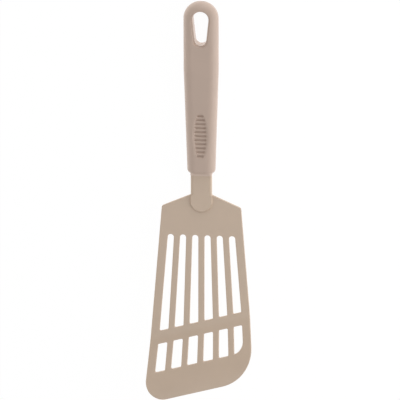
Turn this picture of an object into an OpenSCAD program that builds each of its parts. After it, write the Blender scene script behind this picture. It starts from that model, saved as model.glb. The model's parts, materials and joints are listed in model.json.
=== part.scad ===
// Offset turner: a bent, slotted blade on a flat neck, with a moulded handle.
// Millimetres. The handle lies along +Y with its flat back on the table, z = 0, and the blade is in the air.
// The origin is on the flat back, in the middle of the handle's straight length.

/* [Blade] */
// Distance along the blade from the bend to its shoulders
shoulder_y = 104.65; // [95:0.05:115]
// Width across the shoulders
shoulder_w = 65.8; // [60:0.2:72]
// Gain in half width for each millimetre towards the front
edge_flare = 0.083; // [0.06:0.001:0.1]
// Distance from the bend to the front edge, on the middle line
front_l = 51.8; // [46:0.1:56]
// Slant of the bend, the slot ends and the front edge
slant = 15.5; // [8:0.5:20]
// Angle of the bend between the front and the rest of the blade
bend = 16.2; // [8:0.2:22]
// Inside radius of the bend
bend_r = 28; // [15:1:40]
// Thickness of the blade
blade_t = 2.4; // [2:0.1:3]
// Thickness left at the front edge
edge_t = 0.9; // [0.6:0.1:1.5]
// Length of the bevel that thins the front edge
bevel_l = 9; // [5:0.5:14]
// Radius of the front corner on the long side
long_corner_r = 14; // [8:0.5:18]
// Radius of the front corner on the short side
short_corner_r = 32; // [25:0.5:36]
// Radius of the shoulder corners
shoulder_r = 2.5; // [1:0.5:5]

/* [Slots] */
// Number of ribs between the slots
ribs = 5; // [3:2:5]
// Width of a rib
rib_w = 5.15; // [4:0.05:6]
// Distance between rib centres at the bend
rib_pitch_bend = 12.43; // [11.5:0.01:13]
// Distance between rib centres at the top of the slots
rib_pitch_top = 10.1; // [9.5:0.1:11]
// Width of the border outside the slots
border_w = 7.1; // [6:0.1:8]
// Distance from the bend to the rounded tops of the long slots
slot_top_y = 80.2; // [70:0.2:85]
// Distance from the middle of the cross bar to the slots on each side of it
bar_half = 5.45; // [4:0.05:7]
// Distance from the bend to the front end of the short slots
short_slot_end = 27.9; // [22:0.1:32]
// Radius in the corners of the slots
slot_corner_r = 0.9; // [0.5:0.1:1.5]
// Radius in the slot corner that follows the short side's corner
slot_turn_r = 11.5; // [8:0.5:16]

/* [Neck] */
// Width of the neck
neck_w = 17.5; // [15:0.1:19]
// Thickness of the neck
neck_t = 6.4; // [5.5:0.1:7]
// Radius along the edges of the neck
neck_edge_r = 1.7; // [1:0.1:1.8]
// Distance along the blade from the bend to where its edge meets the neck
neck_foot_y = 115.2; // [108:0.1:120]
// Distance from the bend to the point where the neck tilts up from the blade
neck_y = 113.15; // [108:0.05:116]
// Height of the neck's middle above the blade's underside
neck_z = 1.15; // [0.8:0.05:1.6]
// Angle of the neck and handle above the blade
handle_rise = 1.75; // [0:0.25:6]
// Radius of the tongue's rounded end where it meets the blade
tongue_r = 10; // [9:0.1:11]
// Distance from the tongue's tip to where the neck tilts up
tongue_l = 13.4; // [11:0.1:16]
// Length of the neck up to the collar
neck_l = 18.9; // [15:0.1:22]
// Length of the tang inside the handle
tang_l = 56; // [40:1:60]
// Wall of the handle's core on each side of the tang, at the collar
tang_wall = 3.05; // [2.5:0.05:4]
// Thickness of the tang
tang_t = 4.4; // [3.5:0.1:5]

/* [Handle] */
// Distance from the neck's start to the centre of the handle's round end
end_y = 152.6; // [140:0.2:165]
// Width of the handle at its round end
handle_w = 28.8; // [27:0.1:32]
// Distance that each side of the handle draws in between its widest part and the collar
foot_inset = 2.85; // [2:0.05:3.5]
// Distance from the neck's start to where the handle stops widening
widest_y = 110; // [95:1:125]
// Thickness of the handle
handle_t = 15; // [14:0.5:17]
// Thickness of the grip over the core
grip_wall = 2.5; // [2:0.1:3]
// Radius of the rounding at the grip's foot
foot_r = 3; // [2:0.5:4]
// Length of the collar left bare
collar_l = 2.2; // [1.5:0.1:4]
// Thickness of the collar
collar_t = 7.6; // [7:0.1:8.4]
// Radius along the edges of the collar
collar_edge_r = 2.2; // [1:0.1:3]

/* [Hanging hole] */
// Radius of the hole's wide end
hole_r = 7.4; // [6:0.1:8]
// Radius of the hole's narrow end
hole_small_r = 5.6; // [4.5:0.1:6.5]
// Distance between the centres of the hole's two ends
hole_l = 17.2; // [12:0.2:22]
// Width of the core's ledge inside the hole
ledge_w = 0.8; // [0.4:0.1:1.2]

/* [Thumb rest] */
// Distance from the neck's start to the middle of the thumb rest
rest_y = 54.1; // [50:0.1:60]
// Length of the thumb rest
rest_l = 40.2; // [30:0.2:46]
// Width of the thumb rest
rest_w = 13.1; // [10:0.1:14]
// Depth of the thumb rest
rest_depth = 1.1; // [0.6:0.1:1.3]
// Number of grooves in the thumb rest
grooves = 11; // [5:2:13]
// Distance between grooves
groove_pitch = 3.45; // [3:0.05:3.8]
// Width of a groove
groove_w = 1.1; // [0.6:0.1:1.4]
// Depth of a groove below the thumb rest
groove_depth = 0.5; // [0.3:0.1:0.8]
// Length of the middle groove
groove_l = 10; // [8:0.2:12]

/* [Fixing] */
// Radius of the pins that hold the tang
pin_r = 1.5; // [1:0.1:2]
// Distance from the collar's face to the first pin
first_pin_y = 15; // [10:1:20]
// Distance between the pins
pin_gap = 26; // [15:1:30]
// Gap between the tang and its socket
tang_fit = 0.1; // [0.05:0.05:0.2]

/* [Hidden] */
$fn = 64;
overrun = 1;
sheet_w = 2 * front_l + shoulder_w;
half_ribs = (ribs + 1) / 2;
// How finely rounded corners are divided
corner_steps = 3;
arc_chord = 1.5;
// How far the foot's rounding leans out of the grip's sides
foot_lean = 4;
// How finely circles much larger than their arcs are divided
large_fn = 360;
slant_slope = tan(slant);
edge_r = handle_t / 2;
core_edge_r = edge_r - grip_wall;
foot_w = handle_w - 2 * foot_inset;
tang_w = foot_w - 2 * (grip_wall + tang_wall);
end_spine = handle_w / 2 - edge_r;
foot_spine = foot_w / 2 - edge_r;
foot_y = neck_l + collar_l;
end_top = end_y + handle_w / 2;
origin_y = (foot_y + end_y) / 2;
tongue_h = neck_z + neck_t / 2 - blade_t;
tongue_drop = neck_t / 2 - neck_z;
hole_small_y = end_y - hole_l;
rest_half = rest_w / 2;
rest_cross_r = (rest_half * rest_half + rest_depth * rest_depth) / (2 * rest_depth);
rest_long_r = (rest_l * rest_l / 4 + rest_depth * rest_depth) / (2 * rest_depth);
groove_span_share = 1.02;

function unit(v) = v / norm(v);

// Half width of the blade at a distance from the bend
function edge_x(y) = shoulder_w / 2 + edge_flare * (shoulder_y - y);

function rib_pitch(y) = rib_pitch_bend + (rib_pitch_top - rib_pitch_bend) * y / slot_top_y;

// One side of rib k; the ribs past the last ones are the borders
function wall_x(k, side, y) =
    abs(k) == half_ribs ? sign(k) * (edge_x(y) - border_w) : k * rib_pitch(y) + side * rib_w / 2;

// Where one side of rib k crosses the slanted line that passes the middle line at y
function wall_point(k, side, y) =
    let (lean = (wall_x(k, side, slot_top_y) - wall_x(k, side, 0)) / slot_top_y)
    let (x = (wall_x(k, side, 0) + lean * y) / (1 - lean * slant_slope))
    [x, y + slant_slope * x];

// Where the blade's edge crosses the slanted line of the front edge
function front_point(side) =
    let (x = side * (edge_x(0) + edge_flare * front_l) / (1 + side * edge_flare * slant_slope))
    [x, slant_slope * x - front_l];

// Where the blade's outline ends inside the neck, in line with its shoulder
function neck_point(side) =
    let (rise = (neck_foot_y - shoulder_y) / (shoulder_w / 2 - neck_w / 2))
    [side * (neck_w / 2 - neck_edge_r), neck_foot_y + rise * neck_edge_r];

// The points of one corner, rounded with the given radius
function corner_points(before, corner, after, r) =
    r == 0 ? [corner] :
    let (to_before = unit(before - corner), to_after = unit(after - corner))
    let (half_angle = acos(to_before * to_after) / 2)
    let (centre = corner + unit(to_before + to_after) * r / sin(half_angle))
    let (from = corner + to_before * r / tan(half_angle) - centre)
    let (sweep = sign(cross(corner - before, after - corner)) * (180 - 2 * half_angle))
    let (steps = max(corner_steps, ceil(abs(sweep) * r * PI / 180 / arc_chord)))
    [
        for (i = [0 : steps])
            let (a = sweep * i / steps)
            centre + [from.x * cos(a) - from.y * sin(a), from.x * sin(a) + from.y * cos(a)]
    ];

module rounded(points, radii) {
    n = len(points);
    polygon([
        for (i = [0 : n - 1])
            each corner_points(points[(i + n - 1) % n], points[i], points[(i + 1) % n], radii[i])
    ]);
}

module blade_outline() {
    rounded(
        [
            neck_point(-1),
            [-shoulder_w / 2, shoulder_y],
            front_point(-1),
            front_point(1),
            [shoulder_w / 2, shoulder_y],
            neck_point(1)
        ],
        [0, shoulder_r, long_corner_r, short_corner_r, shoulder_r, 0]
    );
}

// The long slot between ribs k and k + 1: a slanted foot and a round top
module long_slot(k) {
    top_r = (wall_x(k + 1, -1, slot_top_y) - wall_x(k, 1, slot_top_y)) / 2;
    top_y = slot_top_y - top_r;
    left = wall_x(k, 1, top_y);
    right = wall_x(k + 1, -1, top_y);
    rounded(
        [
            wall_point(k, 1, bar_half),
            wall_point(k + 1, -1, bar_half),
            [right, top_y],
            [left, top_y]
        ],
        [slot_corner_r, slot_corner_r, 0, 0]
    );
    translate([(left + right) / 2, top_y]) circle(r = (right - left) / 2);
}

module short_slot(k) {
    rounded(
        [
            wall_point(k, 1, -short_slot_end),
            wall_point(k + 1, -1, -short_slot_end),
            wall_point(k + 1, -1, -bar_half),
            wall_point(k, 1, -bar_half)
        ],
        [slot_corner_r, slot_corner_r, slot_corner_r, slot_corner_r]
    );
}

// The band that the short slots lie in, with the corner that follows the blade's short side
module short_slot_band() {
    rounded(
        [
            wall_point(-half_ribs, 1, -short_slot_end),
            wall_point(half_ribs, -1, -short_slot_end),
            wall_point(half_ribs, -1, -bar_half),
            wall_point(-half_ribs, 1, -bar_half)
        ],
        [0, slot_turn_r, 0, 0]
    );
}

module slots() {
    for (k = [-half_ribs : half_ribs - 1]) {
        long_slot(k);
        intersection() {
            short_slot(k);
            short_slot_band();
        }
    }
}

// Moves the handle's own frame, y along its middle line from the neck's start, onto the table
module on_table() {
    translate([0, -origin_y, edge_r]) children();
}

// Moves the frame of the blade's upper part, y from the bend and z from its underside, to its place
module on_blade() {
    on_table()
        rotate([-handle_rise, 0, 0])
            translate([0, -neck_y, -neck_z])
                children();
}

// Moves the frame of the blade's flat front, tilted about the slanted bend, to its place
module on_front() {
    on_blade()
        rotate(a = -bend, v = [cos(slant), sin(slant), 0])
            children();
}

// Side view of the blade: bevelled flat front, bend, and the upper part
module blade_section() {
    outer_r = bend_r + blade_t;
    reach = outer_r * tan(bend / 2);
    front_s = front_l * cos(slant) / cos(bend);
    fan = outer_r / cos(bend / 2) + overrun;
    // The flat front with its bevel
    polygon([
        [-front_s - overrun, 0],
        [-reach, 0],
        [-reach, blade_t],
        [bevel_l - front_s, blade_t],
        [-front_s, edge_t],
        [-front_s - overrun, edge_t]
    ]);
    // The bend
    intersection() {
        translate([-reach, outer_r])
            polygon([
                [0, 0],
                [0, -fan],
                [fan * sin(bend / 2), -fan * cos(bend / 2)],
                [fan * sin(bend), -fan * cos(bend)]
            ]);
        translate([-reach, outer_r])
            difference() {
                circle(r = outer_r, $fn = large_fn);
                circle(r = bend_r, $fn = large_fn);
            }
    }
    // The upper part
    rotate(bend)
        translate([reach, 0])
            square([neck_foot_y + shoulder_w, blade_t]);
}

module bent_sheet() {
    on_front()
        rotate([90, 0, 90 + slant])
            linear_extrude(height = 2 * sheet_w, center = true)
                blade_section();
}

module blade() {
    intersection() {
        bent_sheet();
        on_blade()
            translate([0, 0, -front_l])
                linear_extrude(height = 2 * front_l)
                    difference() {
                        blade_outline();
                        slots();
                    }
    }
}

// One face of the tongue: a low boss with sloping sides and a round end
module tongue_half(h) {
    translate([0, neck_y - tongue_l + tongue_r, 0]) {
        cylinder(h = h, r1 = tongue_r, r2 = neck_w / 2);
        rotate([90, 0, 180])
            linear_extrude(height = tongue_l - tongue_r)
                polygon([[-tongue_r, 0], [tongue_r, 0], [neck_w / 2, h], [-neck_w / 2, h]]);
    }
}

module tongue() {
    translate([0, 0, blade_t]) tongue_half(tongue_h);
    mirror([0, 0, 1]) tongue_half(tongue_drop);
}

// A bar along y from y = 0, with rounded edges
module rounded_bar(w, t, l, r) {
    rotate([90, 0, 180])
        linear_extrude(height = l)
            rounded(
                [[-w / 2, -t / 2], [w / 2, -t / 2], [w / 2, t / 2], [-w / 2, t / 2]],
                [r, r, r, r]
            );
}

module flat_bar(w, t, l) {
    translate([-w / 2, 0, -t / 2]) cube([w, l, t]);
}

module pins(r) {
    for (y = [first_pin_y, first_pin_y + pin_gap])
        translate([0, neck_l + y, -core_edge_r])
            cylinder(h = 2 * core_edge_r, r = r);
}

module turner_head() {
    color("Peru") {
        blade();
        on_blade() tongue();
        on_table()
            difference() {
                union() {
                    rounded_bar(neck_w, neck_t, neck_l, neck_edge_r);
                    flat_bar(tang_w, tang_t, neck_l + tang_l);
                }
                pins(pin_r);
            }
    }
}

// The handle's section: flat in the middle, with a round edge on one side or on both
module section(left, right, r) {
    translate([-left, -r]) square([left + right, 2 * r]);
    translate([right, 0]) circle(r = r);
}

// A stretch as long as the handle that widens towards +Y on its right side only
module widening(r) {
    lean = atan((end_spine - foot_spine) / (widest_y - foot_y));
    translate([end_spine, widest_y, 0])
        rotate([90, 0, -lean])
            linear_extrude(height = 2 * end_top, center = true)
                section(2 * handle_w, 0, r);
}

// The handle's shape with edges of radius r around a flat middle
module handle_form(r) {
    intersection() {
        union() {
            translate([0, end_y, 0])
                rotate([90, 0, 0])
                    linear_extrude(height = end_y - neck_l) {
                        section(end_spine, end_spine, r);
                        translate([-end_spine, 0]) circle(r = r);
                    }
            translate([0, end_y, 0])
                rotate_extrude(angle = 180)
                    intersection() {
                        section(0, end_spine, r);
                        translate([0, -r]) square([end_spine + r, 2 * r]);
                    }
        }
        widening(r);
        mirror([1, 0, 0]) widening(r);
    }
}

module teardrop(inset) {
    big_r = hole_r - inset;
    small_r = hole_small_r - inset;
    turn = asin((big_r - small_r) / hole_l);
    big_x = big_r * cos(turn);
    big_y = end_y - big_r * sin(turn);
    small_x = small_r * cos(turn);
    small_y = hole_small_y - small_r * sin(turn);
    translate([0, 0, -handle_t])
        linear_extrude(height = 2 * handle_t) {
            translate([0, end_y]) circle(r = big_r);
            translate([0, hole_small_y]) circle(r = small_r);
            polygon([[-small_x, small_y], [small_x, small_y], [big_x, big_y], [-big_x, big_y]]);
        }
}

module collar() {
    translate([0, neck_l, 0])
        rounded_bar(2 * (foot_spine + core_edge_r), collar_t, collar_l + grip_wall, collar_edge_r);
}

// Keeps the handle above its foot, with the foot's edges rounded in both directions
module above_foot(inset, r) {
    y = foot_y + inset;
    l = end_top;
    foot = foot_w / 2 - inset;
    half_t = edge_r - inset;
    spread = l * tan(foot_lean);
    intersection() {
        children();
        translate([0, 0, -handle_t])
            linear_extrude(height = 2 * handle_t)
                rounded(
                    [[-foot, y], [foot, y], [foot + spread, y + l], [-foot - spread, y + l]],
                    [r, r, 0, 0]
                );
        rotate([0, -90, 0])
            translate([0, 0, -handle_w])
                linear_extrude(height = 2 * handle_w)
                    rounded(
                        [[-half_t, y], [half_t, y], [half_t + spread, y + l], [-half_t - spread, y + l]],
                        [r, r, 0, 0]
                    );
    }
}

module core_body() {
    above_foot(grip_wall, 0) handle_form(core_edge_r);
    collar();
}

module handle_core() {
    color("RosyBrown")
        on_table()
            difference() {
                core_body();
                teardrop(ledge_w);
                flat_bar(tang_w + 2 * tang_fit, tang_t + 2 * tang_fit, neck_l + tang_l + tang_fit);
                pins(pin_r);
            }
}

// The shallow oval dish under the thumb
module thumb_dish() {
    translate([0, rest_y, edge_r - rest_depth + rest_long_r])
        rotate([0, 90, 0])
            rotate_extrude($fn = large_fn)
                translate([rest_long_r - rest_cross_r, 0])
                    circle(r = rest_cross_r);
}

// One groove across the thumb rest, cut as by a disc, at d from its middle
module groove(d) {
    share = sqrt(1 - pow(2 * d / (rest_l * groove_span_share), 2));
    half_l = groove_l / 2 * share;
    rise = rest_long_r - sqrt(rest_long_r * rest_long_r - d * d);
    floor_z = edge_r - rest_depth + rise - groove_depth;
    disc_r = 1 / (2 * groove_depth / (half_l * half_l) + 1 / rest_cross_r);
    translate([0, rest_y + d - groove_w / 2, floor_z + disc_r])
        rotate([-90, 0, 0])
            cylinder(h = groove_w, r = disc_r);
}

module handle_grip() {
    color("Tan")
        on_table()
            difference() {
                above_foot(0, foot_r) handle_form(edge_r);
                core_body();
                teardrop(0);
                thumb_dish();
                for (i = [0 : grooves - 1]) groove((i - (grooves - 1) / 2) * groove_pitch);
            }
}

module tang_pins() {
    color("Silver") on_table() pins(pin_r);
}

turner_head();
handle_core();
handle_grip();
tang_pins();
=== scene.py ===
"""Offset turner: the visual pieces, their plastics, the studio and the photo's camera.

Lengths are in millimetres until a mesh is placed, apart from the studio's, which are in metres.
Angles are in degrees.
"""

import json
import logging
import math
from dataclasses import dataclass
from enum import Enum
from typing import Any, Callable, Iterable, Sequence

import bmesh
import bpy
from mathutils import Matrix, Vector

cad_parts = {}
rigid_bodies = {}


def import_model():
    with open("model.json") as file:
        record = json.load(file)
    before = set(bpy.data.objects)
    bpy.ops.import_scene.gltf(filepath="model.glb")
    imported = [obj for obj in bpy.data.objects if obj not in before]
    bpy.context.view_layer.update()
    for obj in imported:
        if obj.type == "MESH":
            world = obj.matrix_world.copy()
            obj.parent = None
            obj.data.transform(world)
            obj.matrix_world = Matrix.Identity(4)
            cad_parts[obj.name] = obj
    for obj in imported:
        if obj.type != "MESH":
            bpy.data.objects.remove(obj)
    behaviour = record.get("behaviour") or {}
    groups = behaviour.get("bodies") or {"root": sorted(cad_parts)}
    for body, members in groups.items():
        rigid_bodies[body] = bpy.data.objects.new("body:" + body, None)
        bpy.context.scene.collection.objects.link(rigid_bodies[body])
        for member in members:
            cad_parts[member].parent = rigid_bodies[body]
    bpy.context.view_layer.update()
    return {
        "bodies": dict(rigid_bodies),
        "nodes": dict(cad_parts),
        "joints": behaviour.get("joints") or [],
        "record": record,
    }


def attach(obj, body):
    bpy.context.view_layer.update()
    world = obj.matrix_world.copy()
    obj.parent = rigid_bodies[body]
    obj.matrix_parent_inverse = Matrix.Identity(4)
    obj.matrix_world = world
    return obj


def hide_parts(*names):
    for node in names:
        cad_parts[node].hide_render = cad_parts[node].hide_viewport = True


LOG = logging.getLogger("turner")
MM = 0.001
BODY = "root"
# Closer than these, points are one, edges vanish and a fold takes the point that is there
MERGE_GAP = 0.002
SLIVER = 0.0005
FOLD_GAP = 0.001
QUARTER_TURN = math.pi / 2
# How far a cutter or a joined piece reaches past the face that it meets
OVERRUN = 1.0

Colour = tuple[float, float, float]
Ring = list[tuple[float, float, float]]


class Operation(Enum):
    """What an exact Boolean does with its second mesh."""

    CUT = "DIFFERENCE"
    JOIN = "UNION"


class Light(Enum):
    """The studio's lamps: place around the object and size, in metres, and watts."""

    KEY = ((0.65, 0.0, 0.28), 0.5, 1.5)
    LEFT = ((-0.7, -0.1, 0.45), 0.4, 0.2)
    FILL = ((0.15, 0.85, 0.3), 0.4, 1.2)
    OVERHEAD = ((-0.24, -0.53, 2.0), 0.75, 2.5)


def linear(red: int, green: int, blue: int) -> Colour:
    """Turns a display colour into a linear one.

    Args:
        red: Red from 0 to 255.
        green: Green from 0 to 255.
        blue: Blue from 0 to 255.

    Returns:
        The linear colour, each channel from 0 to 1.
    """

    def channel(value: int) -> float:
        """One channel in linear light."""
        share = value / 255
        return share / 12.92 if share <= 0.04045 else ((share + 0.055) / 1.055) ** 2.4

    return channel(red), channel(green), channel(blue)


def formula(operation: str, swapped: bool = False) -> Callable[..., "Value"]:
    """A method of Value that adds one Math node.

    Args:
        operation: What the node does.
        swapped: The value itself comes last, as in 1 - mask.

    Returns:
        The method.
    """

    def method(value: "Value", *others: Any) -> "Value":
        """The node's result."""
        ordered = (*others, value) if swapped else (value, *others)
        return value.tree.math(operation, *ordered)

    return method


class Value:
    """A number or vector socket that formulas can be written with."""

    __add__ = formula("ADD")
    __radd__ = formula("ADD", True)
    __sub__ = formula("SUBTRACT")
    __rsub__ = formula("SUBTRACT", True)
    __mul__ = formula("MULTIPLY")
    __rmul__ = formula("MULTIPLY", True)
    __truediv__ = formula("DIVIDE")
    __rtruediv__ = formula("DIVIDE", True)
    __mod__ = formula("MODULO")
    __gt__ = formula("GREATER_THAN")
    __lt__ = formula("LESS_THAN")
    __abs__ = formula("ABSOLUTE")
    root = formula("SQRT")
    floor = formula("FLOOR")
    sign = formula("SIGN")
    cos = formula("COSINE")
    sin = formula("SINE")
    least = formula("MINIMUM")
    most = formula("MAXIMUM")

    def __init__(self, tree: "Tree", socket: bpy.types.NodeSocket) -> None:
        """Keeps the tree and the socket that carries the value."""
        self.tree = tree
        self.socket = socket

    def __neg__(self) -> "Value":
        """The value with its sign turned."""
        return self * -1.0

    def choose(self, no: Any, yes: Any) -> "Value":
        """Takes no where this is zero and yes where it is one.

        Args:
            no: The value for zero.
            yes: The value for one.

        Returns:
            The chosen value.
        """
        return no * (1 - self) + yes * self


class Tree:
    """A shader or geometry tree that is being written."""

    def __init__(self, nodes: bpy.types.NodeTree) -> None:
        """Keeps the node tree."""
        self.nodes = nodes

    @classmethod
    def of(cls, owner: bpy.types.Material | bpy.types.World) -> "Tree":
        """The emptied tree of a material or a world.

        Args:
            owner: The material or world.

        Returns:
            Its tree.
        """
        owner.use_nodes = True
        owner.node_tree.nodes.clear()
        return cls(owner.node_tree)

    def node(
        self, kind: str, settings: dict | None = None, inputs: dict | None = None
    ) -> bpy.types.Node:
        """Adds a node.

        Args:
            kind: The node's type.
            settings: Property values by name.
            inputs: Values or sockets by the input's identifier, name or number.

        Returns:
            The new node.
        """
        made = self.nodes.nodes.new(kind)
        for name, value in (settings or {}).items():
            setattr(made, name, value)
        for key, value in (inputs or {}).items():
            self.feed(self.find(made.inputs, key), value)
        return made

    def find(self, sockets: Any, key: str | int) -> bpy.types.NodeSocket:
        """The socket with that number, identifier or name.

        Args:
            sockets: A node's inputs or outputs.
            key: The number, identifier or name.

        Returns:
            The socket.
        """
        if isinstance(key, int):
            return sockets[key]
        for socket in sockets:
            if socket.identifier == key:
                return socket
        return sockets[key]

    def feed(self, socket: bpy.types.NodeSocket, value: Any) -> None:
        """Links a value to an input, or sets the input to it.

        Args:
            socket: The input.
            value: A value, a socket or something plain.
        """
        if isinstance(value, Value):
            value = value.socket
        if isinstance(value, bpy.types.NodeSocket):
            self.nodes.links.new(value, socket)
        else:
            socket.default_value = value

    def value(
        self,
        kind: str,
        settings: dict | None = None,
        inputs: dict | None = None,
        output: str | int = 0,
    ) -> Value:
        """Adds a node and gives one of its outputs.

        Args:
            kind: The node's type.
            settings: Property values by name.
            inputs: Values or sockets by input.
            output: The output's number, identifier or name.

        Returns:
            The output as a value.
        """
        made = self.node(kind, settings, inputs)
        return Value(self, self.find(made.outputs, output))

    def math(self, operation: str, *values: Any) -> Value:
        """One Math node."""
        return self.value("ShaderNodeMath", {"operation": operation}, dict(enumerate(values)))

    def noise(self, place: Any, scale: float, detail: float) -> Value:
        """A noise pattern on these coordinates."""
        return self.value("ShaderNodeTexNoise", None, {"Vector": place, "Scale": scale, "Detail": detail})

    def blend(self, factor: Value, first: Colour, second: Colour) -> Value:
        """A colour between two, by a factor."""
        inputs = {"Factor_Float": factor, "A_Color": (*first, 1.0), "B_Color": (*second, 1.0)}
        return self.value("ShaderNodeMix", {"data_type": "RGBA"}, inputs, "Result_Color")

    def parts(self, vector: Value) -> tuple[Value, Value, Value]:
        """The three parts of a vector."""
        split = self.node("ShaderNodeSeparateXYZ", None, {0: vector})
        return tuple(Value(self, socket) for socket in split.outputs)

    def mix(self, factor: Any, first: Value, second: Value) -> Value:
        """Mixes two shaders by a factor."""
        return self.value("ShaderNodeMixShader", None, {0: factor, 1: first, 2: second})

    def join(self, x: Any, y: Any, z: Any) -> Value:
        """A vector from its three parts."""
        return self.value("ShaderNodeCombineXYZ", None, {0: x, 1: y, 2: z})


class GeometryTree(Tree):
    """A Geometry Nodes tree with named inputs."""

    def __init__(self, name: str, inputs: dict[str, float]) -> None:
        """Starts the tree.

        Args:
            name: The tree's name.
            inputs: The named number inputs and their values.
        """
        super().__init__(bpy.data.node_groups.new(name, "GeometryNodeTree"))
        face = self.nodes.interface
        face.new_socket("Geometry", in_out="INPUT", socket_type="NodeSocketGeometry")
        face.new_socket("Geometry", in_out="OUTPUT", socket_type="NodeSocketGeometry")
        face.new_socket("Material", in_out="INPUT", socket_type="NodeSocketMaterial")
        for key in inputs:
            face.new_socket(key, in_out="INPUT", socket_type="NodeSocketFloat")
        self.numbers = inputs
        self.start = self.node("NodeGroupInput")
        self.geometry = self.start.outputs["Geometry"]

    def given(self, name: str) -> Value:
        """The named number input."""
        return Value(self, self.start.outputs[name])

    def moved(self, geometry: Any, **sockets: Any) -> Value:
        """The geometry with its points moved as these sockets say."""
        return self.value("GeometryNodeSetPosition", None, {"Geometry": geometry, **sockets})

    def fillet(self, curve: Any, count: Any, radius: Any) -> Value:
        """Rounds the corners of curves with arcs of straight steps.

        Args:
            curve: The curves.
            count: Steps in each arc.
            radius: The corners' radius.

        Returns:
            The rounded curves.
        """
        inputs = {"Curve": curve, "Radius": radius, "Limit Radius": True, "Count": count}
        return self.value("GeometryNodeFilletCurve", {"mode": "POLY"}, inputs)

    def together(self, *parts: Value) -> Value:
        """Joins geometry.

        Args:
            parts: What is joined.

        Returns:
            All the parts as one.
        """
        joined = self.node("GeometryNodeJoinGeometry")
        for part in parts:
            self.feed(joined.inputs[0], part)
        return Value(self, joined.outputs[0])

    def finish(self, geometry: Value) -> None:
        """Realizes the geometry, gives it its material and ends the tree.

        Args:
            geometry: What the tree has made.
        """
        real = self.value("GeometryNodeRealizeInstances", None, {0: geometry})
        dressed = {"Geometry": real, "Material": self.start.outputs["Material"]}
        done = self.value("GeometryNodeSetMaterial", None, dressed)
        self.node("NodeGroupOutput", None, {0: done})

    def apply(self, obj: bpy.types.Object, material: bpy.types.Material) -> bpy.types.Mesh:
        """Runs the tree on an object.

        Args:
            obj: The object that the tree starts from.
            material: The finish that it sets.

        Returns:
            The mesh that the tree made.
        """
        modifier = obj.modifiers.new("Build", "NODES")
        modifier.node_group = self.nodes
        for item in self.nodes.interface.items_tree:
            if item.in_out == "INPUT" and item.name in self.numbers:
                modifier[item.identifier] = float(self.numbers[item.name])
            elif item.in_out == "INPUT" and item.name == "Material":
                modifier[item.identifier] = material
        mesh = evaluated_mesh(obj)
        obj.modifiers.remove(modifier)
        return mesh


def evaluated_mesh(obj: bpy.types.Object) -> bpy.types.Mesh:
    """The object's mesh with its modifiers applied."""
    graph = bpy.context.evaluated_depsgraph_get()
    return bpy.data.meshes.new_from_object(obj.evaluated_get(graph))


def scene_object(name: str, data: bpy.types.ID) -> bpy.types.Object:
    """Puts an object in the scene.

    Args:
        name: The object's name.
        data: Its mesh, curve, lamp or camera.

    Returns:
        The object.
    """
    obj = bpy.data.objects.new(name, data)
    bpy.context.scene.collection.objects.link(obj)
    return obj


def remove(obj: bpy.types.Object) -> None:
    """Takes an object out of the file."""
    bpy.data.objects.remove(obj, do_unlink=True)


def loft(name: str, rings: Sequence[Ring]) -> bpy.types.Object:
    """A closed skin over rings that have equal numbers of points.

    Args:
        name: The object's name.
        rings: The rings, in order.

    Returns:
        The object, its normals outwards and its double points merged.
    """
    shape = bmesh.new()
    rows = [[shape.verts.new(point) for point in ring] for ring in rings]
    count = len(rings[0])
    for lower, upper in zip(rows, rows[1:]):
        for i in range(count):
            j = (i + 1) % count
            shape.faces.new((lower[i], lower[j], upper[j], upper[i]))
    shape.faces.new(rows[0])
    shape.faces.new(list(reversed(rows[-1])))
    bmesh.ops.remove_doubles(shape, verts=shape.verts, dist=MERGE_GAP)
    bmesh.ops.dissolve_degenerate(shape, edges=shape.edges, dist=SLIVER)
    bmesh.ops.recalc_face_normals(shape, faces=shape.faces)
    mesh = bpy.data.meshes.new(name)
    shape.to_mesh(mesh)
    shape.free()
    return scene_object(name, mesh)


def soft_edge(radius: float, steps: int) -> list[tuple[float, float]]:
    """A quarter round from a face to the side that it turns into.

    Args:
        radius: The edge's radius.
        steps: How many straight steps it has.

    Returns:
        For each point, how far it has come along and how far it still is inside.
    """
    turns = [QUARTER_TURN * i / steps for i in range(steps + 1)]
    return [(radius * (1 - math.cos(turn)), radius * (1 - math.sin(turn))) for turn in turns]


def arc(r: float, y: float, z: float, start: float, sweep: float, steps: int) -> Ring:
    """Points along a level arc whose centre is on the middle line.

    Args:
        r: Its radius.
        y: Its centre's place.
        z: Its height.
        start: Where it starts, in radians from the x direction.
        sweep: How far it turns, in radians.
        steps: How many straight steps it has.

    Returns:
        Its points, both ends with them.
    """
    turns = [start + sweep * i / steps for i in range(steps + 1)]
    return [(r * math.cos(turn), y + r * math.sin(turn), z) for turn in turns]


def rounded_ring(half_w: float, half_t: float, r: float, y: float, spread: float = 1.0) -> Ring:
    """A rectangle with rounded corners, across y.

    Args:
        half_w: Half its width.
        half_t: Half its thickness.
        r: Its corners' radius.
        y: Where it lies.
        spread: How many times as wide as high its corners' rounding is.

    Returns:
        Its points.
    """
    ring: Ring = []
    steps = 8
    for quarter in range(4):
        side_x = 1 if quarter in (0, 3) else -1
        side_z = 1 if quarter < 2 else -1
        for i in range(steps + 1):
            turn = QUARTER_TURN * (quarter + i / steps)
            x = side_x * (half_w - spread * r) + spread * r * math.cos(turn)
            z = side_z * (half_t - r) + r * math.sin(turn)
            ring.append((x, y, z))
    return ring


def bar(
    name: str, w: float, t: float, r: float, ends: Sequence[float], spread: float = 1.0
) -> bpy.types.Object:
    """A bar along y with rounded edges.

    Args:
        name: The object's name.
        w: Its width.
        t: Its thickness.
        r: The radius along its edges.
        ends: Where it starts and ends.
        spread: How many times as wide as high its edges' rounding is.

    Returns:
        The bar, in the handle's frame.
    """
    return loft(name, [rounded_ring(w / 2, t / 2, r, y, spread) for y in ends])


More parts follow.
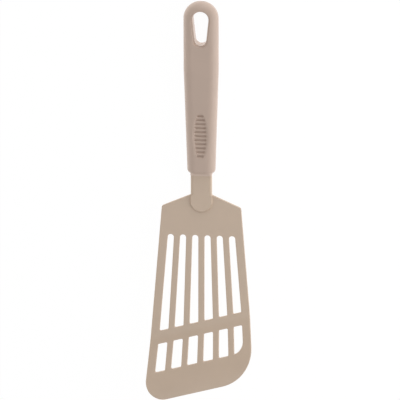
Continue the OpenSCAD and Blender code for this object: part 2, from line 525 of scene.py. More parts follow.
def cylinder(name: str, r: float, y: float, half_l: float) -> bpy.types.Object:
    """An upright cylinder on the middle line.

    Args:
        name: The object's name.
        r: Its radius.
        y: Where it stands.
        half_l: Half its length.

    Returns:
        The cylinder.
    """
    steps = 32
    return loft(name, [arc(r, y, z, 0.0, 2 * math.pi, steps)[:-1] for z in (-half_l, half_l)])


def combine(obj: bpy.types.Object, other: bpy.types.Object, operation: Operation) -> None:
    """Joins or cuts a mesh with another, which is then removed.

    Args:
        obj: The object that is changed.
        other: The second object.
        operation: Cut or join.
    """
    modifier = obj.modifiers.new("Combine", "BOOLEAN")
    modifier.operation = operation.value
    modifier.solver = "EXACT"
    modifier.object = other
    obj.data = evaluated_mesh(obj)
    obj.modifiers.remove(modifier)
    remove(other)


def smooth(obj: bpy.types.Object, sharp_angle: float) -> None:
    """Smooth shading with sharp edges above an angle and flat faces kept flat.

    Args:
        obj: The object.
        sharp_angle: Edges turned further than this stay sharp.
    """
    shape = bmesh.new()
    shape.from_mesh(obj.data)
    bmesh.ops.recalc_face_normals(shape, faces=shape.faces)
    limit = math.radians(sharp_angle)
    for edge in shape.edges:
        edge.smooth = len(edge.link_faces) == 2 and edge.calc_face_angle(math.pi) < limit
    for face in shape.faces:
        face.smooth = True
    shape.to_mesh(obj.data)
    shape.free()
    weigh = obj.modifiers.new("Flat faces", "WEIGHTED_NORMAL")
    weigh.keep_sharp = True


@dataclass(frozen=True)
class Plastic:
    """A satin moulded plastic.

    Attributes:
        name: The material's name.
        colour: Its linear colour.
        roughness: Its mean roughness.
        mottle: How much its colour varies, as a share.
        grain_height: Height of its surface grain, in millimetres.
        blotch: How fine the colour's variation is.
        grain: How fine the surface grain is.
        bump: How strongly the grain turns the light.
        uneven: How much the roughness follows the blotches.
        grain_uneven: How much the roughness follows the grain.
        blotch_detail: How many finer layers the blotches have.
        grain_detail: How many finer layers the grain has.
        refraction: Its refractive index.
    """

    name: str
    colour: Colour
    roughness: float
    mottle: float = 0.05
    grain_height: float = 0.02
    blotch: float = 55.0
    grain: float = 1400.0
    bump: float = 0.35
    uneven: float = 0.1
    grain_uneven: float = 0.06
    blotch_detail: float = 3.0
    grain_detail: float = 2.0
    refraction: float = 1.5

    def material(self) -> bpy.types.Material:
        """The procedural material.

        Returns:
            The material, its patterns on object coordinates.
        """
        made = bpy.data.materials.new(self.name)
        tree = Tree.of(made)
        place = tree.node("ShaderNodeTexCoord").outputs["Object"]
        blotches = tree.noise(place, self.blotch, self.blotch_detail)
        grain = tree.noise(place, self.grain, self.grain_detail)
        dark = tuple(channel * (1 - self.mottle) for channel in self.colour)
        light = tuple(min(1.0, channel * (1 + self.mottle)) for channel in self.colour)
        colour = tree.blend(blotches, dark, light)
        relief = {"Strength": self.bump, "Distance": self.grain_height * MM, "Height": grain}
        bump = tree.value("ShaderNodeBump", None, relief)
        roughness = self.roughness + self.uneven * (blotches - 0.5) + self.grain_uneven * (grain - 0.5)
        inputs = {"Base Color": colour, "Roughness": roughness, "IOR": self.refraction, "Normal": bump}
        surface = tree.value("ShaderNodeBsdfPrincipled", None, inputs)
        tree.node("ShaderNodeOutputMaterial", None, {"Surface": surface})
        return made


@dataclass(frozen=True)
class Steel:
    """A drawn steel with fine lines along its length.

    Attributes:
        name: The material's name.
        dark: Its darkest linear colour.
        light: Its lightest linear colour.
        roughness: Its mean roughness.
        uneven: How much its roughness follows the lines.
        lines: How fine the lines are.
        stretch: How much finer the lines are across than along.
        detail: How many finer layers the lines have.
    """

    name: str = "pin_steel"
    dark: Colour = (0.48, 0.48, 0.5)
    light: Colour = (0.62, 0.62, 0.63)
    roughness: float = 0.3
    uneven: float = 0.2
    lines: float = 2500.0
    stretch: float = 50.0
    detail: float = 2.0

    def material(self) -> bpy.types.Material:
        """The procedural material.

        Returns:
            The material, with lines that run along z.
        """
        made = bpy.data.materials.new(self.name)
        tree = Tree.of(made)
        place = tree.node("ShaderNodeTexCoord").outputs["Object"]
        scale = (1.0, 1.0, 1 / self.stretch)
        drawn = tree.value("ShaderNodeMapping", None, {"Vector": place, "Scale": scale})
        lines = tree.noise(drawn, self.lines, self.detail)
        colour = tree.blend(lines, self.dark, self.light)
        roughness = self.roughness + self.uneven * (lines - 0.5)
        inputs = {"Base Color": colour, "Roughness": roughness, "Metallic": 1.0}
        surface = tree.value("ShaderNodeBsdfPrincipled", None, inputs)
        tree.node("ShaderNodeOutputMaterial", None, {"Surface": surface})
        return made


@dataclass(frozen=True)
class HandleForm:
    """The handle's shape: flat in the middle, with round edges and a round end.

    In its frame y counts from the neck's start and z from the middle of its thickness.
    """

    foot_y: float = 21.1
    foot_w: float = 23.1
    widest_y: float = 110.0
    end_y: float = 152.6
    handle_w: float = 28.8
    half_t: float = 7.5
    grip_wall: float = 2.5
    neck_l: float = 18.9
    collar_t: float = 7.6
    collar_edge_r: float = 2.2
    hole_r: float = 7.4
    hole_small_r: float = 5.6
    hole_l: float = 17.2
    pin_places: tuple[float, ...] = (33.9, 59.9)
    flat_steps: int = 36
    edge_steps: int = 14
    long_step: float = 4.0
    short_step: float = 0.23
    round_steps: int = 29
    last_turn: float = 87.0
    collar_soft: float = 0.5
    collar_steps: int = 4
    rim_steps: int = 5
    hole_steps: int = 32

    def spine(self, y: float) -> float:
        """Half width of the flat middle at a distance from the neck's start."""
        share = min(1.0, max(0.0, (y - self.foot_y) / (self.widest_y - self.foot_y)))
        return self.foot_w / 2 + share * (self.handle_w - self.foot_w) / 2 - self.half_t

    def ring(self, y: float, inset: float) -> Ring:
        """The handle's section at one place.

        Args:
            y: Distance from the neck's start.
            inset: Distance inside the grip's surface.

        Returns:
            The section's points.
        """
        spine = self.spine(y)
        r = self.half_t - inset
        past = max(0.0, y - self.end_y)
        last = QUARTER_TURN if past <= spine else math.acos(min(1.0, (past - spine) / r))
        edge = []
        for i in range(self.edge_steps + 1):
            turn = last * i / self.edge_steps
            out = spine + r * math.cos(turn)
            edge.append((math.sqrt(max(0.0, out * out - past * past)), r * math.sin(turn)))
        flat = math.sqrt(max(0.0, spine * spine - past * past))
        height = edge[-1][1]
        top = [(-x, z) for x, z in edge]
        top += [(flat * (2 * i / self.flat_steps - 1), height) for i in range(1, self.flat_steps)]
        top += list(reversed(edge))
        bottom = [(x, -z) for x, z in reversed(top[1:-1])]
        return [(x, y, z) for x, z in top + bottom]

    def places(
        self, start: float, inset: float, round_steps: int, dense: tuple[float, float] = (0.0, 0.0)
    ) -> list[float]:
        """Where the sections lie, closer together in the dense stretch and in the round end.

        Args:
            start: The first section's place.
            inset: Distance inside the grip's surface.
            round_steps: How many steps the round end has.
            dense: The stretch with fine detail, with no length where there is none.

        Returns:
            The places, in order.
        """
        found = [start]
        while found[-1] < self.end_y - self.long_step:
            y = found[-1]
            if y < dense[0] < y + self.long_step:
                found.append(dense[0])
            elif dense[0] <= y < dense[1]:
                found.append(y + self.short_step)
            else:
                found.append(y + self.long_step)
        span = self.handle_w / 2 - inset
        turns = [math.radians(self.last_turn * i / round_steps) for i in range(round_steps + 1)]
        return found + [self.end_y + span * math.sin(turn) for turn in turns]

    def core(self) -> bpy.types.Object:
        """The core's body with its collar.

        Returns:
            The body, in the handle's frame.
        """
        places = self.places(self.foot_y + self.grip_wall, self.grip_wall, self.round_steps)
        body = loft("core_body", [self.ring(y, self.grip_wall) for y in places])
        half_w = self.spine(self.foot_y) + self.half_t - self.grip_wall
        rings = []
        for along, inset in soft_edge(self.collar_soft, self.collar_steps):
            half_t, edge_r = self.collar_t / 2 - inset, self.collar_edge_r - inset
            rings.append(rounded_ring(half_w - inset, half_t, edge_r, self.neck_l + along))
        back = self.foot_y + self.grip_wall + OVERRUN
        rings.append(rounded_ring(half_w, self.collar_t / 2, self.collar_edge_r, back))
        combine(body, loft("collar", rings), Operation.JOIN)
        return body

    def teardrop(self, inset: float, surface: float, flare: float) -> bpy.types.Object:
        """A cutter for the hanging hole, flared at both surfaces.

        Args:
            inset: Distance inside the grip's hole.
            surface: Half the thickness that it cuts through.
            flare: Radius of the rounded rim.

        Returns:
            The cutter.
        """
        levels = [(surface - down, inset - out) for out, down in soft_edge(flare, self.rim_steps)]
        levels.append((surface + OVERRUN, inset - flare))
        rings = [self.hole_ring(inset_at, -z) for z, inset_at in reversed(levels)]
        rings += [self.hole_ring(inset_at, z) for z, inset_at in levels]
        return loft("hole_cutter", rings)

    def hole_ring(self, inset: float, z: float) -> Ring:
        """The hanging hole's outline at one height.

        Args:
            inset: Distance inside the grip's hole.
            z: The height.

        Returns:
            The outline's points.
        """
        big, small = self.hole_r - inset, self.hole_small_r - inset
        lean = math.asin((big - small) / self.hole_l)
        narrow_y = self.end_y - self.hole_l
        wide_end = arc(big, self.end_y, z, -lean, math.pi + 2 * lean, self.hole_steps)
        narrow_end = arc(small, narrow_y, z, math.pi + lean, math.pi - 2 * lean, self.hole_steps)
        return wide_end + narrow_end


@dataclass(frozen=True)
class Lay:
    """How the handle and the blade lie in the part's frame.

    Attributes:
        half_t: Half the handle's thickness, which is its middle's height.
        origin_y: The frame's origin, from the neck's start.
        neck_y: Where the neck tilts up from the blade, from the bend.
        neck_z: Height of the neck's middle above the blade's underside.
        rise: Angle of the neck and handle above the blade.
    """

    half_t: float
    origin_y: float = 86.85
    neck_y: float = 113.15
    neck_z: float = 1.15
    rise: float = 1.75

    def handle(self) -> Matrix:
        """From the handle's frame to the part's, in millimetres."""
        return Matrix.Translation((0.0, -self.origin_y, self.half_t))

    def blade(self) -> Matrix:
        """From the blade's frame to the part's, in millimetres."""
        tilt = Matrix.Rotation(math.radians(-self.rise), 4, "X")
        return self.handle() @ tilt @ Matrix.Translation((0.0, -self.neck_y, -self.neck_z))

    def place(self, obj: bpy.types.Object, frame: Matrix) -> None:
        """Moves a mesh from its own frame in millimetres to the part's in metres."""
        obj.data.transform(Matrix.Scale(MM, 4) @ frame)


@dataclass
class Piece:
    """A visual piece that stands for one CAD node."""

    name: str
    node: str
    slot: str
    finish: Plastic
    lay: Lay
    form: HandleForm

    def ready(self, obj: bpy.types.Object, material: bpy.types.Material) -> None:
        """Names the piece, gives it its finish and ties it to the CAD part.

        Args:
            obj: The finished object, in place.
            material: Its finish.
        """
        obj.name = self.name
        obj.data.name = self.name
        obj.data.materials.clear()
        obj.data.materials.append(material)
        obj.data.polygons.foreach_set("material_index", [0] * len(obj.data.polygons))
        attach(obj, BODY)
        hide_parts(self.node)
        LOG.info("%s: %d faces", self.name, len(obj.data.polygons))


@dataclass
class Head(Piece):
    """The moulding of blade, tongue, neck and tang."""

    shoulder_y: float = 104.65
    shoulder_w: float = 65.8
    edge_flare: float = 0.083
    front_l: float = 51.8
    slant: float = 15.5
    bend: float = 16.2
    bend_r: float = 28.0
    blade_t: float = 2.4
    edge_t: float = 0.9
    bevel_l: float = 9.0
    long_corner_r: float = 14.0
    short_corner_r: float = 32.0
    shoulder_r: float = 2.5
    ribs: int = 5
    rib_w: float = 5.15
    rib_pitch_bend: float = 12.43
    rib_pitch_top: float = 10.1
    border_w: float = 7.1
    slot_top_y: float = 80.2
    bar_half: float = 5.45
    short_slot_end: float = 27.9
    slot_corner_r: float = 0.9
    slot_turn_r: float = 11.5
    rim_r: float = 0.8
    rim_merge: float = 0.005
    bend_steps: int = 14
    edge_steps: int = 5
    corner_steps: int = 4
    round_steps: int = 14
    turn_cuts: int = 10
    outline_steps: int = 24
    tongue_steps: int = 24
    neck_w: float = 17.5
    neck_t: float = 6.4
    neck_edge_r: float = 1.7
    neck_edge_spread: float = 1.8
    neck_foot_y: float = 115.2
    tongue_r: float = 10.0
    tongue_l: float = 13.4
    tongue_edge_r: float = 0.5
    rear_inset: float = 0.05
    tang_w: float = 12.0
    tang_t: float = 4.4
    tang_l: float = 56.0
    tang_edge_r: float = 0.3
    neck_overrun: float = 1.5
    tang_overrun: float = 2.0
    sharp_angle: float = 32.0
    pin_r: float = 1.52

    def slope(self) -> float:
        """Rise of the slanted lines for each millimetre across."""
        return math.tan(math.radians(self.slant))

    def edge_x(self, y: float) -> float:
        """Half width of the blade at a distance from the bend."""
        return self.shoulder_w / 2 + self.edge_flare * (self.shoulder_y - y)

    def front_point(self, side: int) -> tuple[float, float]:
        """Where one side edge meets the front edge.

        Args:
            side: One for the right side and minus one for the left.

        Returns:
            The point in the blade's frame.
        """
        x = side * (self.edge_x(0) + self.edge_flare * self.front_l)
        x /= 1 + side * self.edge_flare * self.slope()
        return x, self.slope() * x - self.front_l

    def neck_point(self, side: int) -> tuple[float, float]:
        """Where the blade's outline ends inside the neck, in line with its shoulder.

        Args:
            side: One for the right side and minus one for the left.

        Returns:
            The point in the blade's frame.
        """
        rise = (self.neck_foot_y - self.shoulder_y) / (self.shoulder_w / 2 - self.neck_w / 2)
        return side * (self.neck_w / 2 - self.neck_edge_r), self.neck_foot_y + rise * self.neck_edge_r

    def outline(self) -> bpy.types.Object:
        """The blade's outline as a curve whose point radii are its corner radii.

        Returns:
            The curve object.
        """
        corners = [
            (self.neck_point(-1), 0.0),
            ((-self.shoulder_w / 2, self.shoulder_y), self.shoulder_r),
            (self.front_point(-1), self.long_corner_r),
            (self.front_point(1), self.short_corner_r),
            ((self.shoulder_w / 2, self.shoulder_y), self.shoulder_r),
            (self.neck_point(1), 0.0),
        ]
        curve = bpy.data.curves.new("blade_outline", "CURVE")
        curve.dimensions = "3D"
        line = curve.splines.new("POLY")
        line.points.add(len(corners) - 1)
        for point, (place, radius) in zip(line.points, corners):
            point.co = (*place, 0.0, 1.0)
            point.radius = radius
        line.use_cyclic_u = True
        return scene_object("blade_outline", curve)

    def turn(self) -> tuple[Vector, Vector, Vector]:
        """The rounded corner of the band of short slots.

        Returns:
            Its centre and the two points where its arc begins and ends.
        """
        wall = self.edge_x(0) - self.border_w
        x = (wall + self.edge_flare * self.short_slot_end) / (1 + self.edge_flare * self.slope())
        corner = Vector((x, self.slope() * x - self.short_slot_end))
        left = Vector((-1.0, -self.slope())).normalized()
        up = Vector((-self.edge_flare, 1.0)).normalized()
        half = left.angle(up) / 2
        centre = corner + (left + up).normalized() * self.slot_turn_r / math.sin(half)
        reach = self.slot_turn_r / math.tan(half)
        return centre, corner + left * reach, corner + up * reach

    def slots(self, tree: GeometryTree, low: Value, high: Value, flat_top: bool) -> Value:
        """The outlines of one row of slots, with rounded corners.

        Args:
            tree: The tree that is being written.
            low: Where the slots' front ends cross the middle line.
            high: Where their other ends cross it.
            flat_top: The other ends are straight across, and fully rounded.

        Returns:
            The closed curves.
        """
        half_ribs = (self.ribs + 1) // 2
        starts = tree.value("GeometryNodeMeshLine", None, {"Count": 2 * half_ribs})
        four = tree.value("GeometryNodeCurvePrimitiveQuadrilateral")
        each = tree.value("GeometryNodeInstanceOnPoints", None, {"Points": starts, "Instance": four})
        curves = tree.value("GeometryNodeRealizeInstances", None, {0: each})
        index = tree.value("GeometryNodeInputIndex")
        corners = 4
        corner = index % corners
        right = corner > 1.5
        top = (corner > 0.5) * (corner < 2.5)
        rib = (index / corners).floor() - half_ribs + right
        side = 1 - 2 * right
        border = abs(rib) > half_ribs - 0.5
        pitch = tree.given("Pitch at bend")
        narrowing = (tree.given("Pitch at top") - pitch) / tree.given("Slot top")
        flare = tree.given("Edge flare")
        inner_x = rib * pitch + side * tree.given("Rib width") / 2
        outer_x = rib.sign() * tree.given("Half width inside the border")
        at_bend = border.choose(inner_x, outer_x)
        lean = border.choose(rib * narrowing, -flare * rib.sign())
        level = top.choose(low, high)
        slope = tree.given("Slope") * (1 - top * float(flat_top))
        x = (at_bend + lean * level) / (1 - lean * slope)
        place = tree.join(x, level + slope * x, 0.0)
        full = top * float(flat_top)
        radius = tree.given("Corner radius") + full * tree.given("Rib width")
        count = self.corner_steps + (self.round_steps - self.corner_steps) * full
        return tree.fillet(tree.moved(curves, Position=place), count, radius)

    def turned(self, tree: GeometryTree, curves: Value) -> Value:
        """Moves the last short slot's corner onto the arc that follows the blade's short side.

        Args:
            tree: The tree that is being written.
            curves: The short slots' outlines.

        Returns:
            The outlines with that corner on the arc.
        """
        x, y, _ = tree.parts(tree.value("GeometryNodeInputPosition"))
        past = x > tree.given("Turn start x")
        cuts = {"Curve": curves, "Cuts": past * self.turn_cuts}
        dense = tree.value("GeometryNodeSubdivideCurve", None, cuts)
        centre_x, centre_y = tree.given("Turn centre x"), tree.given("Turn centre y")
        off_x, off_y = x - centre_x, y - centre_y
        away = (off_x * off_x + off_y * off_y).root()
        share = tree.given("Turn radius").least(away) / away
        place = tree.join(centre_x + off_x * share, centre_y + off_y * share, 0.0)
        return tree.moved(dense, Selection=past * (y < tree.given("Turn end y")), Position=place)

    def rim_profile(self, tree: GeometryTree) -> Value:
        """The section of the plate's rounded rim: x outwards and y downwards.

        Args:
            tree: The tree that is being written.

        Returns:
            The open curve, from the top face to the bottom one.
        """
        steps = self.edge_steps
        line = tree.value("GeometryNodeMeshLine", None, {"Count": 2 * steps})
        curve = tree.value("GeometryNodeMeshToCurve", None, {0: line})
        index = tree.value("GeometryNodeInputIndex")
        under = index > steps - 0.5
        turn = (index - under * steps) / (steps - 1) * QUARTER_TURN
        radius = tree.given("Rim radius")
        out = radius * (under.choose(turn.sin(), turn.cos()) - 1)
        low = tree.given("Thickness") - radius + radius * turn.cos()
        height = under.choose(low, radius - radius * turn.sin())
        return tree.moved(curve, Position=tree.join(out, -height, 0.0))

    def plate_tree(self) -> GeometryTree:
        """The tree that makes the flat slotted plate from its outline.

        Returns:
            The tree, its inputs in millimetres.
        """
        centre, start, end = self.turn()
        tree = GeometryTree(
            "slotted_plate",
            {
                "Thickness": self.blade_t,
                "Rim radius": self.rim_r,
                "Rib width": self.rib_w,
                "Pitch at bend": self.rib_pitch_bend,
                "Pitch at top": self.rib_pitch_top,
                "Slot top": self.slot_top_y,
                "Bar half width": self.bar_half,
                "Short slot end": self.short_slot_end,
                "Half width inside the border": self.edge_x(0) - self.border_w,
                "Edge flare": self.edge_flare,
                "Slope": self.slope(),
                "Corner radius": self.slot_corner_r,
                "Turn radius": self.slot_turn_r,
                "Turn centre x": centre.x,
                "Turn centre y": centre.y,
                "Turn start x": start.x,
                "Turn end y": end.y,
            },
        )
        radius = tree.value("GeometryNodeInputRadius")
        outer = tree.fillet(tree.geometry, self.outline_steps, radius)
        half_bar = tree.given("Bar half width")
        long_slots = self.slots(tree, half_bar, tree.given("Slot top"), True)
        short_slots = self.slots(tree, -tree.given("Short slot end"), -half_bar, False)
        loops = tree.together(outer, long_slots, self.turned(tree, short_slots))
        upright = tree.value("GeometryNodeSetCurveNormal", {"mode": "Z_UP"}, {"Curve": loops})
        sweep = {"Curve": upright, "Profile Curve": self.rim_profile(tree)}
        rims = tree.value("GeometryNodeCurveToMesh", None, sweep)
        outwards = tree.value("GeometryNodeInputNormal")
        shrink = {0: outwards, "Scale": -tree.given("Rim radius")}
        inset = tree.value("ShaderNodeVectorMath", {"operation": "SCALE"}, shrink)
        inner = tree.moved(upright, Offset=inset)
        bottom = tree.value("GeometryNodeFillCurve", {"mode": "TRIANGLES"}, {0: inner})
        top = tree.moved(bottom, Offset=tree.join(0.0, 0.0, tree.given("Thickness")))
        merge = {0: tree.together(rims, bottom, top), "Distance": self.rim_merge}
        tree.finish(tree.value("GeometryNodeMergeByDistance", None, merge))
        return tree

    def under_and_over(self, s: float) -> tuple[float, float]:
        """Heights of the bent sheet's two faces in the blade's frame.

        Args:
            s: Distance from the bend line, positive towards the handle.

        Returns:
            The height of the lower face and of the upper face.
        """
        turn = math.radians(self.bend)
        sine, cosine, t = math.sin(turn), math.cos(turn), self.blade_t
        outer_r = self.bend_r + t
        reach = outer_r * math.tan(turn / 2)
        if s >= reach:
            return 0.0, t
        over = -s * math.tan(turn) + t / cosine
        under = -s * math.tan(turn)
        if s >= -reach * cosine:
            under = outer_r - math.sqrt(outer_r**2 - (s - reach) ** 2)
        if s >= -reach * cosine + t * sine:
            over = outer_r - math.sqrt(self.bend_r**2 - (s - reach) ** 2)
        (bevel_s, bevel_z), (front_s, front_z) = self.bevel_line()
        if s < bevel_s:
            over = bevel_z + (front_z - bevel_z) * (bevel_s - s) / (bevel_s - front_s)
        return under, over

    def bevel_line(self) -> tuple[tuple[float, float], tuple[float, float]]:
        """The two ends of the front bevel in the blade's frame, seen along the bend.

        Returns:
            For each end, its distance from the bend line and its height.
        """
        turn = math.radians(self.bend)
        sine, cosine = math.sin(turn), math.cos(turn)
        front = self.front_l * math.cos(math.radians(self.slant)) / cosine
        ends = ((self.bevel_l - front, self.blade_t), (-front, self.edge_t))
        return tuple((s * cosine + z * sine, z * cosine - s * sine) for s, z in ends)

    def bend_plate(self, mesh: bpy.types.Mesh) -> None:
        """Cuts the flat plate along the folds and bends it.

        Args:
            mesh: The flat plate, which is changed.
        """
        slant = math.radians(self.slant)
        across = Vector((-math.sin(slant), math.cos(slant), 0.0))
        reach = (self.bend_r + self.blade_t) * math.tan(math.radians(self.bend) / 2)
        folds = [reach * (1 - 2 * i / self.bend_steps) for i in range(self.bend_steps + 1)]
        folds.append(self.bevel_line()[0][0])
        shape = bmesh.new()
        shape.from_mesh(mesh)
        for s in folds:
            everything = shape.verts[:] + shape.edges[:] + shape.faces[:]
            fold = {"plane_co": across * s, "plane_no": across}
            bmesh.ops.bisect_plane(shape, geom=everything, dist=FOLD_GAP, **fold)
        for vertex in shape.verts:
            under, over = self.under_and_over(across.dot(vertex.co))
            vertex.co.z = under + vertex.co.z / self.blade_t * (over - under)
        bmesh.ops.recalc_face_normals(shape, faces=shape.faces)
        shape.to_mesh(mesh)
        shape.free()

    def tongue(self) -> bpy.types.Object:
        """The low boss where the neck meets the blade, on both of its faces.

        Returns:
            The boss, in the blade's frame.
        """
        centre_y = self.lay.neck_y - self.tongue_l + self.tongue_r
        top = self.lay.neck_z + self.neck_t / 2
        bottom = self.lay.neck_z - self.neck_t / 2
        draft = self.tongue_r - self.neck_w / 2
        soft = soft_edge(self.tongue_edge_r, self.edge_steps)
        under = [(draft + inset, bottom + up) for up, inset in soft]
        over = [(draft + inset, top - down) for inset, down in soft]
        levels = [*under, (0.0, 0.0), (0.0, self.blade_t), *over]
        return loft("tongue", [self.tongue_ring(centre_y, inset, z) for inset, z in levels])

    def tongue_ring(self, centre_y: float, inset: float, z: float) -> Ring:
        """The tongue's outline at one height.

        Args:
            centre_y: Centre of its round end.
            inset: Distance inside its widest outline.
            z: The height.

        Returns:
            The outline's points.
        """
        half = self.tongue_r - inset
        draft = self.tongue_r - self.neck_w / 2
        rear = self.neck_w / 2 - max(self.rear_inset, inset - draft)
        front = arc(half, centre_y, z, 0.0, -math.pi, self.tongue_steps)
        return [(rear, self.neck_foot_y, z), *front, (-rear, self.neck_foot_y, z)]

    def build(self) -> None:
        """Makes the head."""
        material = self.finish.material()
        outline = self.outline()
        plate = scene_object("blade", self.plate_tree().apply(outline, material))
        remove(outline)
        self.bend_plate(plate.data)
        combine(plate, self.tongue(), Operation.JOIN)
        self.lay.place(plate, self.lay.blade())
        neck_l = self.form.neck_l
        ends = (-self.neck_overrun, neck_l)
        neck = bar("neck", self.neck_w, self.neck_t, self.neck_edge_r, ends, self.neck_edge_spread)
        ends = (neck_l - self.tang_overrun, neck_l + self.tang_l)
        combine(neck, bar("tang", self.tang_w, self.tang_t, self.tang_edge_r, ends), Operation.JOIN)
        for y in self.form.pin_places:
            combine(neck, cylinder("pin_hole", self.pin_r, y, self.form.half_t), Operation.CUT)
        self.lay.place(neck, self.lay.handle())
        combine(plate, neck, Operation.JOIN)
        smooth(plate, self.sharp_angle)
        self.ready(plate, material)


@dataclass
class Core(Piece):
    """The handle's rigid core: collar, tang socket, pin holes and the hole's ledge."""

    ledge_w: float = 0.8
    ledge_edge_r: float = 0.3
    socket_w: float = 12.2
    socket_t: float = 4.6
    socket_edge_r: float = 0.2
    sharp_angle: float = 35.0
    socket_end: float = 75.0
    pin_r: float = 1.5

    def build(self) -> None:
        """Makes the core."""
        body = self.form.core()
        surface = self.form.half_t - self.form.grip_wall
        combine(body, self.form.teardrop(self.ledge_w, surface, self.ledge_edge_r), Operation.CUT)
        ends = (self.form.neck_l - OVERRUN, self.socket_end)
        socket = bar("socket", self.socket_w, self.socket_t, self.socket_edge_r, ends)
        combine(body, socket, Operation.CUT)
        for y in self.form.pin_places:
            combine(body, cylinder("pin_hole", self.pin_r, y, self.form.half_t), Operation.CUT)
        self.lay.place(body, self.lay.handle())
        smooth(body, self.sharp_angle)
        self.ready(body, self.finish.material())


@dataclass
class Grip(Piece):
    """The handle's outer body with the thumb rest and the hanging hole."""

    foot_r: float = 3.0
    rim_r: float = 1.1
    rest_y: float = 54.1
    rest_l: float = 40.2
    rest_w: float = 13.1
    rest_depth: float = 1.1
    grooves: int = 11
    groove_pitch: float = 3.45
    groove_w: float = 2.2
    groove_depth: float = 1.2
    rest_steepness: float = 1.3
    groove_l: float = 10.0
    groove_span_share: float = 1.02
    groove_blunt: float = 4.0
    groove_steepness: float = 1.6
    least_share: float = 0.01
    top_from: float = 0.5
    foot_steps: int = 6
    round_steps: int = 27
    sharp_angle: float = 38.0

    def body(self) -> bpy.types.Object:
        """The grip's outer shape without its thumb rest.

        Returns:
            The shape, in the handle's frame.
        """
        foot = soft_edge(self.foot_r, self.foot_steps)
        rings = [self.form.ring(self.form.foot_y + along, inset) for along, inset in foot]
        steps = math.ceil(self.rest_l / 2 / self.form.short_step)
        half = steps * self.form.short_step
        dense = (self.rest_y - half, self.rest_y + half)
        start = self.form.foot_y + self.foot_r
        places = self.form.places(start, 0.0, self.round_steps, dense)
        rings += [self.form.ring(y, 0.0) for y in places[1:]]
        return loft("grip_body", rings)

    def rest_tree(self) -> GeometryTree:
        """The tree that presses the thumb rest and its grooves into the grip.

        Returns:
            The tree, its inputs in millimetres.
        """
        half_w, half_l, depth = self.rest_w / 2, self.rest_l / 2, self.rest_depth
        tree = GeometryTree(
            "thumb_rest",
            {
                "Surface": self.form.half_t,
                "Middle": self.rest_y,
                "Depth": depth,
                "Cross radius": (half_w**2 + depth**2) / (2 * depth),
                "Long radius": (half_l**2 + depth**2) / (2 * depth),
                "Grooves": float(self.grooves),
                "Pitch": self.groove_pitch,
                "Steepness": self.rest_steepness,
                "Groove width": self.groove_w,
                "Groove depth": self.groove_depth,
                "Groove length": self.groove_l,
                "Groove bluntness": self.groove_blunt,
                "Groove steepness": self.groove_steepness,
                "Groove span": self.rest_l * self.groove_span_share,
                "Length": self.rest_l,
            },
        )
        x, y, z = tree.parts(tree.value("GeometryNodeInputPosition"))
        along = y - tree.given("Middle")
        long_r, cross_r = tree.given("Long radius"), tree.given("Cross radius")
        rise = long_r - (long_r * long_r - along * along).most(0.0).root()
        rise = rise + cross_r - (cross_r * cross_r - x * x).most(0.0).root()
        inward = ((1 - rise / tree.given("Depth")) * tree.given("Steepness")).most(0.0).least(1.0)
        dish = tree.given("Surface") - tree.given("Depth") * inward * (3 - inward * inward) / 2
        pitch = tree.given("Pitch")
        number = (along / pitch + 0.5).floor()
        off = abs(along - number * pitch) * 2 / tree.given("Groove width")
        share = number * pitch * 2 / tree.given("Groove span")
        reach = tree.given("Groove length") / 2 * (1 - share * share).most(self.least_share).root()
        across = ((1 - (x / reach) * (x / reach)) * tree.given("Groove bluntness")).most(0.0).least(1.0)
        soft = ((1 - off) * tree.given("Groove steepness")).most(0.0).least(1.0)
        counted = abs(number) < tree.given("Grooves") / 2
        groove = tree.given("Groove depth") * across * soft * soft * (3 - 2 * soft) * counted
        pressed = z.least(dish) - groove
        place = tree.join(x, y, pressed)
        on_top = (z > self.top_from) * (abs(along) < tree.given("Length") / 2)
        tree.finish(tree.moved(tree.geometry, Selection=on_top, Position=place))
        return tree

    def build(self) -> None:
        """Makes the grip."""
        material = self.finish.material()
        body = self.body()
        body.data = self.rest_tree().apply(body, material)
        combine(body, self.form.core(), Operation.CUT)
        combine(body, self.form.teardrop(0.0, self.form.half_t, self.rim_r), Operation.CUT)
        self.lay.place(body, self.lay.handle())
        smooth(body, self.sharp_angle)
        self.ready(body, material)


@dataclass
class Pins:
    """The two locking pins, which are the CAD node itself."""

    node: bpy.types.Object
    finish: Steel

    def build(self) -> None:
        """Gives the pins their finish."""
        self.node.data.materials.clear()
        self.node.data.materials.append(self.finish.material())
        LOG.info("tang_pins: the CAD node")


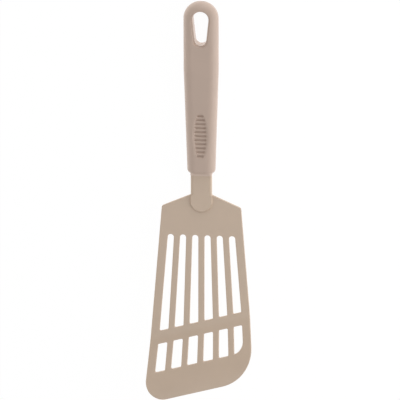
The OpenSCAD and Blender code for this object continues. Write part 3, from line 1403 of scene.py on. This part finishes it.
@dataclass
class Studio:
    """The pale floor, the soft light and the white surroundings."""

    floor_size: float = 6.0
    floor_albedo: float = 0.9
    paper_share: float = 0.94
    glow_share: float = 0.85
    glow: float = 1.02
    backlight: float = 1.64
    zenith: float = 0.52
    horizon: float = 0.92
    target: tuple[float, float, float] = (0.0, -0.085, 0.02)

    def floor(self) -> None:
        """A plain pale floor that looks nearly white and keeps a faint shadow."""
        half = self.floor_size / 2
        mesh = bpy.data.meshes.new("floor")
        corners = [(-half, -half, 0.0), (half, -half, 0.0), (half, half, 0.0), (-half, half, 0.0)]
        mesh.from_pydata(corners, [], [(0, 1, 2, 3)])
        obj = scene_object("floor", mesh)
        made = bpy.data.materials.new("paper")
        tree = Tree.of(made)
        seen = tree.value("ShaderNodeLightPath", None, None, "Is Camera Ray")
        paper = tree.value("ShaderNodeBsdfDiffuse", None, {"Color": (*[self.floor_albedo] * 3, 1.0)})
        white = tree.value("ShaderNodeEmission", None, {"Strength": self.glow})
        lit = tree.value("ShaderNodeEmission", None, {"Strength": self.backlight})
        shown = tree.mix(self.paper_share, paper, white)
        around = tree.mix(self.glow_share, paper, lit)
        tree.node("ShaderNodeOutputMaterial", None, {"Surface": tree.mix(seen, around, shown)})
        obj.data.materials.append(made)

    def surroundings(self) -> None:
        """Even light from all round, white where the camera sees it."""
        world = bpy.data.worlds.new("studio")
        bpy.context.scene.world = world
        tree = Tree.of(world)
        seen = tree.value("ShaderNodeLightPath", None, None, "Is Camera Ray")
        _, _, height = tree.parts(tree.value("ShaderNodeTexCoord", None, None, "Generated"))
        low = 1 - height.most(0.0)
        above, around, shown = (
            tree.value("ShaderNodeBackground", None, {"Color": (1.0, 1.0, 1.0, 1.0), "Strength": strength})
            for strength in (self.zenith, self.horizon, 1.0)
        )
        even = tree.mix(low * low, above, around)
        tree.node("ShaderNodeOutputWorld", None, {"Surface": tree.mix(seen, even, shown)})

    def lamp(self, light: Light) -> None:
        """One soft square lamp that points at the object.

        Args:
            light: The lamp's place, size and power.
        """
        place, size, watts = light.value
        data = bpy.data.lights.new(light.name.lower(), "AREA")
        data.shape = "SQUARE"
        data.size = size
        data.energy = watts
        obj = scene_object(light.name.lower(), data)
        start = Vector(self.target) + Vector(place)
        obj.location = start
        obj.rotation_euler = (Vector(self.target) - start).to_track_quat("-Z", "Y").to_euler()

    def build(self) -> None:
        """Sets the studio up."""
        self.floor()
        self.surroundings()
        for light in Light:
            self.lamp(light)
        bpy.context.scene.view_settings.view_transform = "Standard"
        LOG.info("studio: floor, surroundings and %d lamps", len(Light))


@dataclass
class PhotoCamera:
    """The photo's camera, fitted on the blade in a frame of its own.

    Attributes:
        lay: How the blade lies in the part's frame.
        view: The direction from the object back to the camera.
        roll: The camera's turn about that direction, in radians.
        scale: From the fit's lengths to millimetres.
        offset: The camera's place across, upwards and back, in the fit's lengths.
        fit_shift: The fit's origin in the blade's frame.
        lens: The focal length.
        sensor: The sensor's width.
        far: How far the camera sees, in metres.
    """

    lay: Lay
    view: tuple[float, float, float] = (0.115, 0.2841, 0.9519)
    roll: float = 0.0011
    scale: float = 0.83
    offset: tuple[float, float, float] = (-1.19, 130.0, 4500.0)
    fit_shift: tuple[float, float, float] = (0.0, -1.9, 2.4)
    lens: float = 405.0
    sensor: float = 36.0
    far: float = 20.0

    def build(self) -> None:
        """Sets the camera up."""
        back = Vector(self.view).normalized()
        up = (Vector((0.0, 1.0, 0.0)) - back * back.y).normalized()
        right = up.cross(back)
        across = right * math.cos(self.roll) + up * math.sin(self.roll)
        upwards = up * math.cos(self.roll) - right * math.sin(self.roll)
        place = sum((axis * step for axis, step in zip((across, upwards, back), self.offset)), Vector())
        turn = Matrix((across, upwards, back)).transposed().to_4x4()
        pose = Matrix.Translation(Vector(self.fit_shift) + place * self.scale) @ turn
        pose = self.lay.blade() @ pose
        pose.translation *= MM
        data = bpy.data.cameras.new("photo_camera")
        data.lens = self.lens
        data.sensor_width = self.sensor
        data.clip_end = self.far
        obj = scene_object("photo_camera", data)
        obj.matrix_world = pose
        bpy.context.scene.camera = obj
        LOG.info("camera: %s", tuple(round(value, 4) for value in obj.location))


def main() -> None:
    """Builds the scene piece by piece."""
    logging.basicConfig(level=logging.INFO, format="%(name)s %(message)s")
    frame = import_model()
    form = HandleForm()
    lay = Lay(form.half_t)
    head_nylon = Plastic("head_nylon", linear(198, 177, 157), roughness=0.33)
    core_plastic = Plastic("core_plastic", linear(208, 188, 174), roughness=0.38)
    grip_plastic = Plastic("grip_plastic", linear(188, 167, 153), roughness=0.45, grain_height=0.03)
    Studio().build()
    PhotoCamera(lay).build()
    Head("turner_head_visual", "turner_head", "head_nylon", head_nylon, lay, form).build()
    Core("handle_core_visual", "handle_core", "core_plastic", core_plastic, lay, form).build()
    Grip("handle_grip_visual", "handle_grip", "grip_plastic", grip_plastic, lay, form).build()
    Pins(frame["nodes"]["tang_pins"], Steel()).build()


if __name__ == "__main__":
    main()
